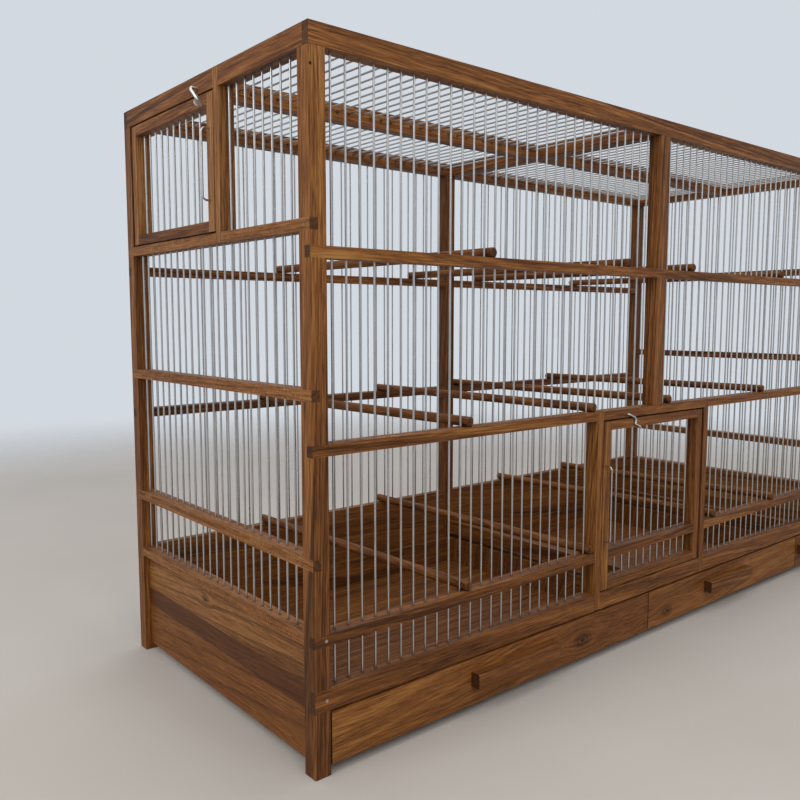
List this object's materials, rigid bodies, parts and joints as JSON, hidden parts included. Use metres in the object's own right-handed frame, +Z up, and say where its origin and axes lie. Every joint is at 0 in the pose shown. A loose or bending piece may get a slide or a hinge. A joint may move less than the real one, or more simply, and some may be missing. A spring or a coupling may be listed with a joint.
{
  "type": "canary breeding cage",
  "caption": "Long wooden bird cage with wire bars, lapped frame, front and side doors with turn hooks, dowel perches and slide-out trays with bar handles.",
  "frame": {"origin": "middle of the bounding box seen from above, at the soles of the feet", "axes": "+X along the front to the right, +Y from the front to the back, +Z up"},
  "size_m": [1.009, 0.387, 0.625],
  "materials": {
    "frame_wood": "oiled hardwood, open grain",
    "light_board": "oiled hardwood, lighter, with a knot",
    "board_wood": "oiled hardwood",
    "drawer_wood": "oiled hardwood, with knots",
    "tray_wood": "plain hardwood",
    "perch_wood": "turned dowel",
    "wire": "bright galvanised wire",
    "hook_wire": "bright plated wire",
    "nail_steel": "bare steel"
  },
  "bodies": {
    "frame": {"post_front_left": "frame_wood", "post_front_right": "frame_wood", "post_back_left": "frame_wood", "post_back_right": "frame_wood", "post_front_middle": "frame_wood", "post_back_middle": "frame_wood", "door_post_left": "frame_wood", "door_post_right": "frame_wood", "side_door_post": "frame_wood", "top_rail_front": "frame_wood", "top_rail_back": "frame_wood", "top_rail_left": "frame_wood", "top_rail_right": "frame_wood", "top_beam_long": "frame_wood", "top_beam_cross": "frame_wood", "front_rail_upper": "frame_wood", "front_rail_middle": "frame_wood", "front_rails_low": "frame_wood", "front_rail_bottom": "frame_wood", "back_rails": "frame_wood", "left_rails": "frame_wood", "right_rails": "frame_wood", "left_panel_upper_board": "light_board", "left_panel_lower_board": "board_wood", "right_panel_upper_board": "light_board", "right_panel_lower_board": "board_wood", "back_panels": "board_wood", "base_board": "board_wood", "floor_cross_rails": "frame_wood", "wires_front_left": "wire", "wires_front_right": "wire", "wires_over_door": "wire", "wires_back": "wire", "wires_left": "wire", "wires_right": "wire", "wires_top": "wire", "nails": "nail_steel", "hinge_pins": "nail_steel", "perches_upper": "perch_wood", "perches_middle": "perch_wood", "perches_low": "perch_wood"},
    "front_door": {"front_door_stiles": "frame_wood", "front_door_rails": "frame_wood", "front_door_wires": "wire", "front_door_pull": "wire"},
    "front_hook": {"front_door_hook": "hook_wire"},
    "side_door": {"side_door_stiles": "frame_wood", "side_door_rails": "frame_wood", "side_door_wires": "wire", "side_door_pull": "wire"},
    "side_hook": {"side_door_hook": "hook_wire"},
    "drawer_left": {"drawer_left_front": "drawer_wood", "drawer_left_tray": "tray_wood", "drawer_left_handle": "drawer_wood"},
    "drawer_middle": {"drawer_middle_front": "drawer_wood", "drawer_middle_tray": "tray_wood", "drawer_middle_handle": "drawer_wood"},
    "drawer_right": {"drawer_right_front": "drawer_wood", "drawer_right_tray": "tray_wood", "drawer_right_handle": "drawer_wood"}
  },
  "joints": [
    {"name": "front_door_hinge", "type": "hinge", "parent": "frame", "child": "front_door", "pos_m": [0.10347, -0.1745, 0.178], "axis": [0, 0, 1], "range_deg": [0, 95]},
    {"name": "front_hook_turn", "type": "hinge", "parent": "frame", "child": "front_hook", "pos_m": [-0.0554, -0.1825, 0.2825], "axis": [0, -1, 0], "range_deg": [0, 120]},
    {"name": "side_door_hinge", "type": "hinge", "parent": "frame", "child": "side_door", "pos_m": [-0.4875, 0.16707, 0.54], "axis": [0, 0, -1], "range_deg": [0, 95]},
    {"name": "side_hook_turn", "type": "hinge", "parent": "frame", "child": "side_hook", "pos_m": [-0.4955, 0.0085, 0.6125], "axis": [1, 0, 0], "range_deg": [0, 120]},
    {"name": "drawer_left_slide", "type": "slide", "parent": "frame", "child": "drawer_left", "axis": [0, -1, 0], "range_m": [0, 0.3]},
    {"name": "drawer_middle_slide", "type": "slide", "parent": "frame", "child": "drawer_middle", "axis": [0, -1, 0], "range_m": [0, 0.3]},
    {"name": "drawer_right_slide", "type": "slide", "parent": "frame", "child": "drawer_right", "axis": [0, -1, 0], "range_m": [0, 0.3]}
  ]
}
